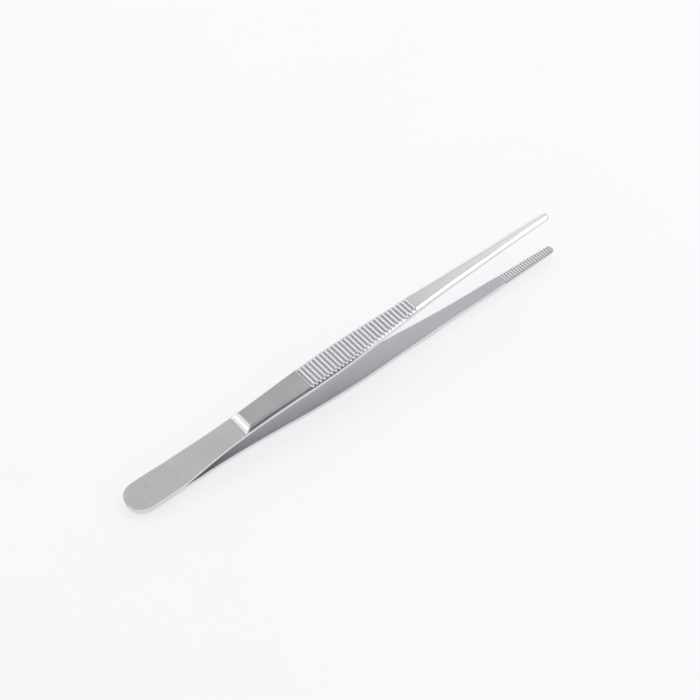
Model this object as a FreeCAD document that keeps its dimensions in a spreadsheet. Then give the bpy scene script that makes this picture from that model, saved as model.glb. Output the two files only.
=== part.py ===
import FreeCAD, Part
import math
import os

from FreeCAD import Placement, Rotation, Vector
from Sketcher import Constraint

# Thumb forceps with serrated jaws: two sprung steel blades welded flat together at the tail.
#
# Each blade is drawn in the frame of the weld. X runs from the tail end to the tips, Y across the
# blade, and Z away from the other blade, with the weld face at Z = 0. The lower blade is the same
# form turned over about X, with its jaw teeth moved half a pitch so that they mesh.
# At the end both are tilted together, so that the part lies on the ribs of the lower handle.
#
# Lengths are in millimetres and angles in degrees.

doc = FreeCAD.newDocument("thumb_forceps")

SIZES = [
    ("overall_length", "200", "tail end to the tips, along the weld plane"),
    ("weld_length", "20", "length over which the two tails are welded"),
    ("bend_radius", "25", "inner radius of the bend in front of the weld"),
    ("splay_angle", "5.9", "slope of a blade where the bend ends"),
    ("grip_angle", "2.75", "slope of the straight ribbed handle"),
    ("jaw_angle", "0.7", "slope of the straight jaw"),
    ("grip_start", "81", "X where the straight handle begins"),
    ("jaw_length", "26", "length of the straight jaw"),
    ("tail_thickness", "1.2", "thickness of the ground tail"),
    ("handle_thickness", "2.5", "thickness of the handle"),
    ("jaw_thickness", "2.05", "thickness of the jaw"),
    ("shoulder_at", "51.5", "X where the ground tail ends"),
    ("shoulder_radius", "3.7", "radius that the grinding wheel leaves at the shoulder"),
    ("tail_width", "15.1", "widest part of the tail"),
    ("tail_widest_at", "10", "X of the widest part of the tail"),
    ("tail_corner_radius", "6.8", "corners of the tail end, seen from above"),
    ("waist_width", "11.3", "narrowest part behind the handle"),
    ("waist_at", "52", "X of the narrowest part"),
    ("handle_width", "12.9", "widest part of the handle"),
    ("handle_widest_at", "93", "X of the widest part of the handle"),
    ("side_start", "109.5", "X where the straight side of the shank begins"),
    ("side_end", "138.6", "X where the straight side of the shank ends"),
    ("neck_width", "6.4", "width where the even taper to the tips begins"),
    ("neck_at", "155", "X where the even taper to the tips begins"),
    ("tip_width", "3.9", "width at the tips"),
    ("tip_corner_radius", "1.5", "corners of a tip, seen from above"),
    ("bevel_width", "1.15", "bevel on the outer long edges, measured across"),
    ("bevel_height", "0.9", "bevel on the outer long edges, measured through the blade"),
    ("rib_count", "28", "ribs across a handle"),
    ("rib_pitch", "1.78", "distance from rib to rib"),
    ("rib_crest", "0.5", "flat top of a rib"),
    ("rib_depth", "0.65", "depth of the grooves between the ribs"),
    ("rib_margin", "0.9", "plain handle left at each end of the ribs"),
    ("tooth_count", "21", "grooves across a jaw"),
    ("tooth_pitch", "1.15", "distance from tooth to tooth"),
    ("tooth_crest", "0.2", "flat top of a tooth"),
    ("tooth_depth", "0.25", "depth of the grooves between the teeth"),
    ("tooth_margin", "0.6", "tip to the first tooth groove"),
    ("overshoot", "2", "how far a cutting profile reaches past the metal"),
]

sheet = doc.addObject("Spreadsheet::Sheet", "sizes")
for row, (alias, value, note) in enumerate(SIZES, start=1):
    sheet.set(f"A{row}", note)
    sheet.set(f"B{row}", value)
    sheet.setAlias(f"B{row}", alias)
doc.recompute()


def size(alias):
    """Current value of a size, as a plain number."""
    return float(sheet.get(alias))


def along(start, length, angle):
    """Point at a distance from start, in a direction given in radians."""
    return start + Vector(math.cos(angle), math.sin(angle), 0) * length


# Drawing helpers for sketches


def line(sketch, start, end, helper=False):
    """Add a straight edge and return its index."""
    return sketch.addGeometry(Part.LineSegment(start, end), helper)


def arc(sketch, centre, radius, first, last):
    """Add an arc that runs anticlockwise between two directions in radians."""
    circle = Part.Circle(centre, Vector(0, 0, 1), radius)
    return sketch.addGeometry(Part.ArcOfCircle(circle, first, last), False)


def rule(sketch, kind, *references):
    """Add a constraint that has no value."""
    sketch.addConstraint(Constraint(kind, *references))


def bind(sketch, kind, *references, value, to):
    """Add a dimension, start it at a value and tie it to an expression."""
    index = sketch.addConstraint(Constraint(kind, *references, value))
    sketch.setExpression(f"Constraints[{index}]", to)


def borrow(sketch, source, edge):
    """Take an edge of another sketch as a reference and return its index here."""
    sketch.addExternal(source.Name, f"Edge{edge + 1}")
    return -2 - sum(len(names) for _, names in sketch.ExternalGeometry)


def plane_sketch(body, name, role):
    """Start a sketch on one of a body's own origin planes."""
    sketch = body.newObject("Sketcher::SketchObject", name)
    plane = next(item for item in body.Origin.OriginFeatures if item.Role == role)
    sketch.AttachmentSupport = [(plane, "")]
    sketch.MapMode = "FlatFace"
    return sketch


# Side view of a blade


def profile_points():
    """Corner points and arc centres of a blade's inner side, from the sizes."""
    splay = math.radians(size("splay_angle"))
    grip = math.radians(size("grip_angle"))
    jaw = math.radians(size("jaw_angle"))
    square = math.pi / 2
    ribbed = (size("rib_count") + 1) * size("rib_pitch") + 2 * size("rib_margin")
    points = {"weld_end": Vector(size("weld_length"), 0, 0)}
    points["bend_centre"] = along(points["weld_end"], size("bend_radius"), square)
    points["bend_end"] = along(points["bend_centre"], size("bend_radius"), splay - square)
    rear_run = size("grip_start") - points["bend_end"].x
    points["rear_radius"] = rear_run / (math.sin(splay) - math.sin(grip))
    points["rear_centre"] = along(points["bend_end"], points["rear_radius"], splay - square)
    points["grip_start"] = along(points["rear_centre"], points["rear_radius"], grip + square)
    points["grip_end"] = along(points["grip_start"], ribbed, grip)
    shank_run = size("overall_length") - size("jaw_length") * math.cos(jaw) - points["grip_end"].x
    points["shank_radius"] = shank_run / (math.sin(grip) - math.sin(jaw))
    points["shank_centre"] = along(points["grip_end"], points["shank_radius"], grip - square)
    points["jaw_start"] = along(points["shank_centre"], points["shank_radius"], jaw + square)
    points["tip"] = along(points["jaw_start"], size("jaw_length"), jaw)
    return points


def draw_profile(body):
    """Side view of a blade before its tail is ground: an even strip, bent, with a thinner jaw.

    Returns the sketch and the numbers of the edges that other cuts are measured from.
    """
    sketch = plane_sketch(body, "side_view", "XZ_Plane")
    at = profile_points()
    splay = math.radians(size("splay_angle"))
    grip = math.radians(size("grip_angle"))
    jaw = math.radians(size("jaw_angle"))
    square = math.pi / 2
    handle, tip_height = size("handle_thickness"), size("jaw_thickness")
    origin = Vector(0, 0, 0)
    outer_grip_start = along(at["grip_start"], handle, grip + square)
    outer_grip_end = along(at["grip_end"], handle, grip + square)
    outer_jaw_start = along(at["jaw_start"], tip_height, jaw + square)
    outer_tip = along(at["tip"], tip_height, jaw + square)
    outer_weld_end = along(at["weld_end"], handle, square)

    weld = line(sketch, origin, at["weld_end"])
    bend = arc(sketch, at["bend_centre"], size("bend_radius"), -square, splay - square)
    rear = arc(sketch, at["rear_centre"], at["rear_radius"], grip + square, splay + square)
    inner_grip = line(sketch, at["grip_start"], at["grip_end"])
    shank = arc(sketch, at["shank_centre"], at["shank_radius"], jaw + square, grip + square)
    inner_jaw = line(sketch, at["jaw_start"], at["tip"])
    tip_end = line(sketch, at["tip"], outer_tip)
    outer_jaw = line(sketch, outer_tip, outer_jaw_start)
    outer_shank = line(sketch, outer_jaw_start, outer_grip_end)
    outer_grip = line(sketch, outer_grip_end, outer_grip_start)
    outer_rear = arc(sketch, at["rear_centre"], at["rear_radius"] + handle, grip + square, splay + square)
    outer_bend = arc(sketch, at["bend_centre"], size("bend_radius") - handle, -square, splay - square)
    outer_weld = line(sketch, outer_weld_end, Vector(0, handle, 0))
    tail_end = line(sketch, Vector(0, handle, 0), origin)
    splay_line = line(sketch, at["bend_end"], along(at["bend_end"], handle, splay), True)
    grip_end_line = line(sketch, at["grip_end"], outer_grip_end, True)
    jaw_start_line = line(sketch, at["jaw_start"], outer_jaw_start, True)

    rule(sketch, "Coincident", weld, 1, -1, 1)
    rule(sketch, "Horizontal", weld)
    rule(sketch, "Tangent", weld, 2, bend, 1)
    rule(sketch, "Tangent", bend, 2, rear, 2)
    rule(sketch, "Tangent", rear, 1, inner_grip, 1)
    rule(sketch, "Tangent", inner_grip, 2, shank, 2)
    rule(sketch, "Tangent", shank, 1, inner_jaw, 1)
    rule(sketch, "Perpendicular", inner_jaw, 2, tip_end, 1)
    rule(sketch, "Coincident", tip_end, 2, outer_jaw, 1)
    rule(sketch, "Parallel", outer_jaw, inner_jaw)
    rule(sketch, "Coincident", outer_jaw, 2, outer_shank, 1)
    rule(sketch, "Coincident", outer_shank, 2, outer_grip, 1)
    rule(sketch, "Parallel", outer_grip, inner_grip)
    rule(sketch, "Tangent", outer_grip, 2, outer_rear, 1)
    rule(sketch, "Tangent", outer_rear, 2, outer_bend, 2)
    rule(sketch, "Tangent", outer_bend, 1, outer_weld, 1)
    rule(sketch, "Coincident", outer_weld, 2, tail_end, 1)
    rule(sketch, "Coincident", tail_end, 2, weld, 1)
    rule(sketch, "Vertical", tail_end)
    rule(sketch, "Horizontal", outer_weld)
    rule(sketch, "Coincident", outer_rear, 3, rear, 3)
    rule(sketch, "Coincident", outer_bend, 3, bend, 3)
    rule(sketch, "Tangent", bend, 2, splay_line, 1)
    rule(sketch, "Coincident", grip_end_line, 1, inner_grip, 2)
    rule(sketch, "Coincident", grip_end_line, 2, outer_grip, 1)
    rule(sketch, "Perpendicular", grip_end_line, inner_grip)
    rule(sketch, "Coincident", jaw_start_line, 1, inner_jaw, 1)
    rule(sketch, "Coincident", jaw_start_line, 2, outer_jaw, 2)
    rule(sketch, "Perpendicular", jaw_start_line, inner_jaw)

    ribbed = "(sizes.rib_count + 1) * sizes.rib_pitch + 2 * sizes.rib_margin"
    grip_length = at["grip_start"].distanceToPoint(at["grip_end"])
    bind(sketch, "DistanceX", -1, 1, weld, 2, value=size("weld_length"), to="sizes.weld_length")
    bind(sketch, "Radius", bend, value=size("bend_radius"), to="sizes.bend_radius")
    bind(sketch, "Angle", splay_line, value=splay, to="sizes.splay_angle * 1 deg")
    bind(sketch, "Distance", splay_line, value=handle, to="sizes.handle_thickness")
    bind(sketch, "DistanceX", -1, 1, inner_grip, 1, value=size("grip_start"), to="sizes.grip_start")
    bind(sketch, "Angle", inner_grip, value=grip, to="sizes.grip_angle * 1 deg")
    bind(sketch, "Distance", inner_grip, value=grip_length, to=ribbed)
    bind(sketch, "DistanceX", -1, 1, inner_jaw, 2, value=size("overall_length"), to="sizes.overall_length")
    bind(sketch, "Angle", inner_jaw, value=jaw, to="sizes.jaw_angle * 1 deg")
    bind(sketch, "Distance", inner_jaw, value=size("jaw_length"), to="sizes.jaw_length")
    bind(sketch, "Distance", grip_end_line, value=handle, to="sizes.handle_thickness")
    bind(sketch, "Distance", tip_end, value=tip_height, to="sizes.jaw_thickness")
    return sketch, {"bend": bend, "rear": rear, "grip": outer_grip, "jaw": inner_jaw}


# Plan view of a blade


def draw_outline(body):
    """Draw everything beyond one long side of a blade, seen from above."""
    sketch = plane_sketch(body, "plan_view", "XY_Plane")
    tail = Vector(size("tail_widest_at"), size("tail_width") / 2, 0)
    waist = Vector(size("waist_at"), size("waist_width") / 2, 0)
    handle = Vector(size("handle_widest_at"), size("handle_width") / 2, 0)
    neck = Vector(size("neck_at"), size("neck_width") / 2, 0)
    tip = Vector(size("overall_length"), size("tip_width") / 2, 0)
    beyond = size("overshoot")
    square = math.pi / 2

    def s_curve_radius(high, low):
        """Radius of two equal arcs that join a high and a low point, level at both."""
        run, drop = low.x - high.x, high.y - low.y
        return (run ** 2 + drop ** 2) / (4 * drop)

    tail_radius = s_curve_radius(tail, waist)
    waist_radius = s_curve_radius(handle, waist)
    tail_turn = math.asin((waist.x - tail.x) / (2 * tail_radius))
    waist_turn = math.asin((handle.x - waist.x) / (2 * waist_radius))
    tail_centre = tail - Vector(0, tail_radius, 0)
    waist_rear_centre = waist + Vector(0, tail_radius, 0)
    waist_front_centre = waist + Vector(0, waist_radius, 0)
    handle_rear_centre = handle - Vector(0, waist_radius, 0)
    tip_slope = math.atan2(neck.y - tip.y, tip.x - neck.x)
    # an arc drops by its run times its mean slope, so the straight side takes the slope that is left
    round_run = size("side_start") - handle.x
    straight_run = size("side_end") - size("side_start")
    hollow_run = neck.x - size("side_end")
    side_drop = handle.y - neck.y - hollow_run * tip_slope / 2
    side_turn = side_drop / (round_run / 2 + straight_run + hollow_run / 2)
    handle_radius = round_run / math.sin(side_turn)
    neck_radius = hollow_run / (math.sin(side_turn) - math.sin(tip_slope))
    handle_centre = handle - Vector(0, handle_radius, 0)
    neck_centre = along(neck, neck_radius, square - tip_slope)
    side_start = along(handle_centre, handle_radius, square - side_turn)
    side_end = along(neck_centre, neck_radius, -square - side_turn)
    start_turn = math.asin((tail.x + beyond) / tail_radius)
    tip_beyond = along(tip, beyond, -tip_slope)
    far = size("tail_width")

    tail_side = arc(sketch, tail_centre, tail_radius, square - tail_turn, square + start_turn)
    start = sketch.getPoint(tail_side, 2)
    waist_rear = arc(sketch, waist_rear_centre, tail_radius, -square - tail_turn, -square)
    waist_front = arc(sketch, waist_front_centre, waist_radius, -square, -square + waist_turn)
    handle_rear = arc(sketch, handle_rear_centre, waist_radius, square, square + waist_turn)
    handle_front = arc(sketch, handle_centre, handle_radius, square - side_turn, square)
    side = line(sketch, side_start, side_end)
    hollow = arc(sketch, neck_centre, neck_radius, -square - side_turn, -square - tip_slope)
    taper = line(sketch, neck, tip_beyond)
    front = line(sketch, tip_beyond, Vector(tip_beyond.x, far, 0))
    top = line(sketch, Vector(tip_beyond.x, far, 0), Vector(start.x, far, 0))
    back = line(sketch, Vector(start.x, far, 0), start)

    rule(sketch, "Tangent", tail_side, 1, waist_rear, 1)
    rule(sketch, "Equal", tail_side, waist_rear)
    rule(sketch, "Tangent", waist_rear, 2, waist_front, 1)
    rule(sketch, "Tangent", waist_front, 2, handle_rear, 2)
    rule(sketch, "Equal", waist_front, handle_rear)
    rule(sketch, "Tangent", handle_rear, 1, handle_front, 2)
    rule(sketch, "Tangent", handle_front, 1, side, 1)
    rule(sketch, "Tangent", side, 2, hollow, 1)
    rule(sketch, "Tangent", hollow, 2, taper, 1)
    rule(sketch, "Coincident", taper, 2, front, 1)
    rule(sketch, "Coincident", front, 2, top, 1)
    rule(sketch, "Coincident", top, 2, back, 1)
    rule(sketch, "Coincident", back, 2, tail_side, 2)
    rule(sketch, "Vertical", front)
    rule(sketch, "Horizontal", top)
    rule(sketch, "Vertical", back)

    widest = sketch.addGeometry(Part.Point(tail), True)
    end = sketch.addGeometry(Part.Point(tip), True)
    rule(sketch, "PointOnObject", widest, 1, tail_side)
    rule(sketch, "Vertical", widest, 1, tail_side, 3)
    rule(sketch, "Vertical", waist_front, 1, waist_front, 3)
    rule(sketch, "Vertical", handle_front, 2, handle_front, 3)
    rule(sketch, "PointOnObject", end, 1, taper)
    bind(sketch, "DistanceX", -1, 1, widest, 1, value=tail.x, to="sizes.tail_widest_at")
    bind(sketch, "DistanceY", -1, 1, widest, 1, value=tail.y, to="sizes.tail_width / 2")
    bind(sketch, "DistanceX", -1, 1, waist_front, 1, value=waist.x, to="sizes.waist_at")
    bind(sketch, "DistanceY", -1, 1, waist_front, 1, value=waist.y, to="sizes.waist_width / 2")
    bind(sketch, "DistanceX", -1, 1, handle_front, 2, value=handle.x, to="sizes.handle_widest_at")
    bind(sketch, "DistanceY", -1, 1, handle_front, 2, value=handle.y, to="sizes.handle_width / 2")
    bind(sketch, "DistanceX", -1, 1, side, 1, value=size("side_start"), to="sizes.side_start")
    bind(sketch, "DistanceX", -1, 1, side, 2, value=size("side_end"), to="sizes.side_end")
    bind(sketch, "DistanceX", -1, 1, taper, 1, value=neck.x, to="sizes.neck_at")
    bind(sketch, "DistanceY", -1, 1, taper, 1, value=neck.y, to="sizes.neck_width / 2")
    bind(sketch, "DistanceX", -1, 1, end, 1, value=tip.x, to="sizes.overall_length")
    bind(sketch, "DistanceY", -1, 1, end, 1, value=tip.y, to="sizes.tip_width / 2")
    bind(sketch, "Distance", end, 1, taper, 2, value=beyond, to="sizes.overshoot")
    bind(sketch, "DistanceX", tail_side, 2, -1, 1, value=beyond, to="sizes.overshoot")
    bind(sketch, "DistanceY", -1, 1, top, 1, value=far, to="sizes.tail_width")
    return sketch


# What is cut from a blade


def draw_ground_tail(body, side_view, edges):
    """Draw the metal ground off the outside of the tail, up to the hollow that the wheel leaves."""
    sketch = plane_sketch(body, "tail_grinding", "XZ_Plane")
    at = profile_points()
    thickness, beyond = size("tail_thickness"), size("overshoot")
    splay = math.radians(size("splay_angle"))
    square = math.pi / 2
    rear_radius = at["rear_radius"] + thickness
    shoulder = math.asin((at["rear_centre"].x - size("shoulder_at")) / rear_radius)
    foot = along(at["rear_centre"], rear_radius, square + shoulder)
    wheel_centre = along(foot, size("shoulder_radius"), square + shoulder)
    wheel_end = wheel_centre + Vector(size("shoulder_radius"), 0, 0)
    start, weld_end = Vector(-beyond, thickness, 0), Vector(size("weld_length"), thickness, 0)
    above = Vector(0, beyond, 0)

    flat = line(sketch, start, weld_end)
    bend = arc(sketch, at["bend_centre"], size("bend_radius") - thickness, -square, splay - square)
    rear = arc(sketch, at["rear_centre"], rear_radius, square + shoulder, square + splay)
    wheel = arc(sketch, wheel_centre, size("shoulder_radius"), shoulder - square, 0)
    rise = line(sketch, wheel_end, wheel_end + above)
    top = line(sketch, wheel_end + above, Vector(-beyond, wheel_end.y + beyond, 0))
    back = line(sketch, Vector(-beyond, wheel_end.y + beyond, 0), start)
    inner_bend = borrow(sketch, side_view, edges["bend"])
    inner_rear = borrow(sketch, side_view, edges["rear"])

    rule(sketch, "Horizontal", flat)
    rule(sketch, "Tangent", flat, 2, bend, 1)
    rule(sketch, "Coincident", bend, 3, inner_bend, 3)
    rule(sketch, "Tangent", bend, 2, rear, 2)
    rule(sketch, "Coincident", rear, 3, inner_rear, 3)
    rule(sketch, "Tangent", rear, 1, wheel, 1)
    rule(sketch, "Tangent", wheel, 2, rise, 1)
    rule(sketch, "Vertical", rise)
    rule(sketch, "Coincident", rise, 2, top, 1)
    rule(sketch, "Horizontal", top)
    rule(sketch, "Coincident", top, 2, back, 1)
    rule(sketch, "Vertical", back)
    rule(sketch, "Coincident", back, 2, flat, 1)
    bind(sketch, "DistanceX", flat, 1, -1, 1, value=beyond, to="sizes.overshoot")
    bind(sketch, "DistanceY", -1, 1, flat, 1, value=thickness, to="sizes.tail_thickness")
    bind(sketch, "DistanceX", -1, 1, wheel, 1, value=size("shoulder_at"), to="sizes.shoulder_at")
    bind(sketch, "Radius", wheel, value=size("shoulder_radius"), to="sizes.shoulder_radius")
    bind(sketch, "Distance", rise, value=beyond, to="sizes.overshoot")
    return sketch


def draw_groove(body, name, side_view, edge, start, along_edge, into, width, depth, offset):
    """Draw one V groove across a straight edge of the side view, and the line that its copies follow.

    start is the end of the edge that the offset is measured from, along_edge and into are unit
    directions, and width, depth and offset are pairs of a value and an expression.
    """
    sketch = plane_sketch(body, name, "XZ_Plane")
    beyond = size("overshoot")
    middle = start + along_edge * offset[0]
    first = middle - along_edge * (width[0] / 2)
    last = middle + along_edge * (width[0] / 2)
    bottom = middle + into * depth[0]
    lift = into * -beyond
    corners = [first + lift, first, bottom, last, last + lift]
    sides = [line(sketch, corners[i], corners[(i + 1) % len(corners)]) for i in range(len(corners))]
    row = line(sketch, middle, last, True)
    depth_line = line(sketch, middle, bottom, True)
    face = borrow(sketch, side_view, edge)

    for i in range(len(sides)):
        rule(sketch, "Coincident", sides[i], 2, sides[(i + 1) % len(sides)], 1)
    rule(sketch, "PointOnObject", sides[0], 2, face)
    rule(sketch, "PointOnObject", sides[3], 1, face)
    rule(sketch, "Perpendicular", sides[0], face)
    rule(sketch, "Perpendicular", sides[3], face)
    rule(sketch, "Parallel", sides[4], face)
    rule(sketch, "Coincident", row, 2, sides[3], 1)
    rule(sketch, "Symmetric", sides[0], 2, sides[3], 1, row, 1)
    rule(sketch, "Coincident", depth_line, 1, row, 1)
    rule(sketch, "Coincident", depth_line, 2, sides[1], 2)
    rule(sketch, "Perpendicular", depth_line, face)
    distances = [sketch.getPoint(face, point).distanceToPoint(start) for point in (1, 2)]
    end = 1 + distances.index(min(distances))
    bind(sketch, "Distance", sides[0], value=beyond, to="sizes.overshoot")
    bind(sketch, "Distance", row, value=width[0] / 2, to=f"({width[1]}) / 2")
    bind(sketch, "Distance", depth_line, value=depth[0], to=depth[1])
    bind(sketch, "Distance", face, end, row, 1, value=offset[0], to=offset[1])
    return sketch


def cut_through(body, name, sketch):
    """Cut a sketch through the whole blade, both ways from its plane."""
    cut = body.newObject("PartDesign::Pocket", name)
    cut.Profile = sketch
    cut.Type = "ThroughAll"
    cut.SideType = "Symmetric"
    doc.recompute()
    return cut


def repeat(body, name, cut, sketch, count, pitch):
    """Copy a cut along the first construction line of its sketch."""
    row = body.newObject("PartDesign::LinearPattern", name)
    row.Originals = [cut]
    row.Direction = (sketch, ["Axis0"])
    row.Mode = "Spacing"
    row.setExpression("Offset", pitch)
    row.setExpression("Occurrences", count)
    body.Tip = row
    doc.recompute()
    return row


def outer_long_edges(shape):
    """Names of the edges between the outer face and the two long sides of a blade."""
    names = []
    for number, edge in enumerate(shape.Edges, start=1):
        middle = edge.valueAt((edge.FirstParameter + edge.LastParameter) / 2)
        normals = []
        for face in shape.ancestorsOfType(edge, Part.Face):
            u, v = face.Surface.parameter(middle)
            normals.append(face.normalAt(u, v))
        is_top = any(normal.z > 0.9 for normal in normals)
        is_side = any(abs(normal.y) > 0.9 for normal in normals)
        if is_top and is_side:
            names.append(f"Edge{number}")
    return names


def end_corner_edges(shape, tail):
    """Names of the two upright corner edges at the tail end, or of those at the tip."""
    reach = shape.BoundBox.XMin if tail else shape.BoundBox.XMax
    names = []
    for number, edge in enumerate(shape.Edges, start=1):
        box = edge.BoundBox
        upright = box.ZLength > 4 * max(box.XLength, box.YLength)
        if upright and abs(box.Center.x - reach) < box.ZLength / 2:
            names.append(f"Edge{number}")
    return names


def round_corners(body, name, tail, radius):
    """Round the upright corners at one end of a blade."""
    before = body.Tip
    corners = body.newObject("PartDesign::Fillet", name)
    corners.Base = (before, end_corner_edges(before.Shape, tail))
    corners.setExpression("Radius", radius)
    doc.recompute()


def cut_ribs(body, side_view, edges):
    """Grooves across the outside of the handle, which leave the ribs between them."""
    start = side_view.getPoint(edges["grip"], 2)
    end = side_view.getPoint(edges["grip"], 1)
    forwards = (end - start).normalize()
    inwards = Vector(forwards.y, -forwards.x, 0)
    pitch, crest = size("rib_pitch"), size("rib_crest")
    sketch = draw_groove(
        body, "rib_groove", side_view, edges["grip"], start, forwards, inwards,
        width=(pitch - crest, "sizes.rib_pitch - sizes.rib_crest"),
        depth=(size("rib_depth"), "sizes.rib_depth"),
        offset=(size("rib_margin") + pitch / 2, "sizes.rib_margin + sizes.rib_pitch / 2"),
    )
    groove = cut_through(body, "first_rib_groove", sketch)
    repeat(body, "rib_grooves", groove, sketch, "sizes.rib_count + 1", "sizes.rib_pitch")


def cut_teeth(body, side_view, edges, shift):
    """Fine grooves across the inside of the jaw, which leave the teeth between them."""
    start = side_view.getPoint(edges["jaw"], 2)
    end = side_view.getPoint(edges["jaw"], 1)
    backwards = (end - start).normalize()
    inwards = Vector(backwards.y, -backwards.x, 0)
    pitch, crest = size("tooth_pitch"), size("tooth_crest")
    sketch = draw_groove(
        body, "tooth_groove", side_view, edges["jaw"], start, backwards, inwards,
        width=(pitch - crest, "sizes.tooth_pitch - sizes.tooth_crest"),
        depth=(size("tooth_depth"), "sizes.tooth_depth"),
        offset=(
            size("tooth_margin") + (0.5 + shift) * pitch,
            f"sizes.tooth_margin + {0.5 + shift} * sizes.tooth_pitch",
        ),
    )
    groove = cut_through(body, "first_tooth_groove", sketch)
    repeat(body, "tooth_grooves", groove, sketch, "sizes.tooth_count", "sizes.tooth_pitch")


def make_blade(name, label, tooth_shift):
    """Build one blade, with its teeth moved by a share of a pitch."""
    body = doc.addObject("PartDesign::Body", name)
    body.Label = label
    side_view, edges = draw_profile(body)
    strip = body.newObject("PartDesign::Pad", "bent_strip")
    strip.Profile = side_view
    strip.SideType = "Symmetric"
    strip.setExpression("Length", "sizes.tail_width + 2 * sizes.overshoot")
    doc.recompute()

    side_cut = cut_through(body, "side_cut", draw_outline(body))
    both_sides = body.newObject("PartDesign::Mirrored", "both_sides")
    both_sides.Originals = [side_cut]
    middle = next(item for item in body.Origin.OriginFeatures if item.Role == "XZ_Plane")
    both_sides.MirrorPlane = (middle, [""])
    body.Tip = both_sides
    doc.recompute()

    bevel = body.newObject("PartDesign::Chamfer", "outer_bevel")
    bevel.Base = (both_sides, outer_long_edges(both_sides.Shape))
    bevel.ChamferType = "Two distances"
    bevel.setExpression("Size", "sizes.bevel_width")
    bevel.setExpression("Size2", "sizes.bevel_height")
    doc.recompute()

    cut_through(body, "ground_tail", draw_ground_tail(body, side_view, edges))
    round_corners(body, "round_tail", True, "sizes.tail_corner_radius")
    round_corners(body, "round_tip", False, "sizes.tip_corner_radius")
    cut_ribs(body, side_view, edges)
    cut_teeth(body, side_view, edges, tooth_shift)
    return body


upper_arm = make_blade("UpperArm", "upper_arm", 0)
lower_arm = make_blade("LowerArm", "lower_arm", 0.5)

# The lower blade faces the upper one across the weld, and both tilt until the lower ribs are level

tilt = Rotation(Vector(0, 1, 0), -size("grip_angle"))
turned_over = Rotation(Vector(1, 0, 0), 180)
upper_arm.Placement = Placement(Vector(0, 0, 0), tilt)
lower_arm.Placement = Placement(Vector(0, 0, 0), tilt.multiply(turned_over))
doc.recompute()

# The origin is the middle of the part's footprint, on the surface that it lies on

whole = Part.Compound([upper_arm.Shape, lower_arm.Shape]).optimalBoundingBox(False)
rest = Vector(-(whole.XMin + whole.XMax) / 2, 0, -whole.ZMin)
for arm in (upper_arm, lower_arm):
    arm.Placement = Placement(rest, arm.Placement.Rotation)
doc.recompute()

for item in doc.Objects:
    if "Invalid" in item.State or "Error" in item.State:
        raise RuntimeError(f"{item.Name} did not compute: {item.State}")

os.makedirs("parts", exist_ok=True)
for arm in (upper_arm, lower_arm):
    shape = arm.Shape
    if shape.isNull() or not shape.isValid() or len(shape.Solids) != 1:
        raise RuntimeError(f"{arm.Label} is not one valid solid")
    shape.exportStep(f"parts/{arm.Label}.step")
    box = shape.BoundBox
    spans = [round(v, 2) for v in (box.XMin, box.XMax, box.YMin, box.YMax, box.ZMin, box.ZMax)]
    print(arm.Label, round(shape.Volume, 1), "mm3", spans)
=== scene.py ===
"""Thumb forceps lying on a pale table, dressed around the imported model."""

import bisect
import logging
import math
from dataclasses import dataclass, field
from enum import Enum

import bmesh
import bpy
from mathutils import Matrix, Vector


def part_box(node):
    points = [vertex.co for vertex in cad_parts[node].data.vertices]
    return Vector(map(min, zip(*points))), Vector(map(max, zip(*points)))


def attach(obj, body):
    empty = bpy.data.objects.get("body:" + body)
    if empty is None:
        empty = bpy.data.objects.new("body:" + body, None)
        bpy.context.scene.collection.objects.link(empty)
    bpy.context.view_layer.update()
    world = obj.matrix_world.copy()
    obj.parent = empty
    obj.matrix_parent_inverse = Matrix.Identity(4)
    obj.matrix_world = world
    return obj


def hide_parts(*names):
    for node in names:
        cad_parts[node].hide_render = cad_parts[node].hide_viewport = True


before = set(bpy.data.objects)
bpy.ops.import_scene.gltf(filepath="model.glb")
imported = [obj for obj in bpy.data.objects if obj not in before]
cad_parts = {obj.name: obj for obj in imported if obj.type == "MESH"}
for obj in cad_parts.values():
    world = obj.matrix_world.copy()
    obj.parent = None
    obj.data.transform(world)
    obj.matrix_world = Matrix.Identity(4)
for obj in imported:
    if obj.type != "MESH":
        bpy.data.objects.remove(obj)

MM = 0.001
IMAGE_SIDE_PX = 700
SENSOR_MM = 36.0
CAMERA_CLIP_M = (0.01, 50.0)
CORNER_TRIES = 6
WHOLE_EDGE_SHARE = 0.9
RING_TOLERANCE_MM = 0.001
QUAD_CORNERS = 4

log = logging.getLogger("forceps")


# Small helpers


def linear(hex_colour: str) -> tuple[float, float, float, float]:
    """Turn an sRGB hex colour into the linear colour that a shader takes.

    Args:
        hex_colour: Six hex digits after a hash sign.

    Returns:
        Red, green, blue and an alpha of one.
    """
    shares = [int(hex_colour[i:i + 2], 16) / 255 for i in (1, 3, 5)]
    parts = [s / 12.92 if s <= 0.04045 else ((s + 0.055) / 1.055) ** 2.4 for s in shares]
    return parts[0], parts[1], parts[2], 1.0


def add_node(
    tree: bpy.types.NodeTree,
    kind: str,
    settings: dict[str, object],
    links: dict[str, bpy.types.NodeSocket],
) -> bpy.types.Node:
    """Add a node, set its sockets and properties, and link what feeds it.

    Args:
        tree: Node tree of a material or of the world.
        kind: Blender's name for the node's type.
        settings: Values by the name of an input socket or of a property.
        links: Output sockets by the name of the input socket that they feed.

    Returns:
        The new node.
    """
    node = tree.nodes.new(kind)
    for name, value in settings.items():
        if name in node.inputs:
            node.inputs[name].default_value = value
        else:
            setattr(node, name, value)
    for name, output in links.items():
        tree.links.new(output, node.inputs[name])
    return node


def new_material(name: str) -> tuple[bpy.types.Material, bpy.types.NodeTree]:
    """Add a material whose node tree is still empty.

    Args:
        name: Name of the material.

    Returns:
        The material and its node tree.
    """
    material = bpy.data.materials.new(name)
    material.use_nodes = True
    material.node_tree.nodes.clear()
    return material, material.node_tree


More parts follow.
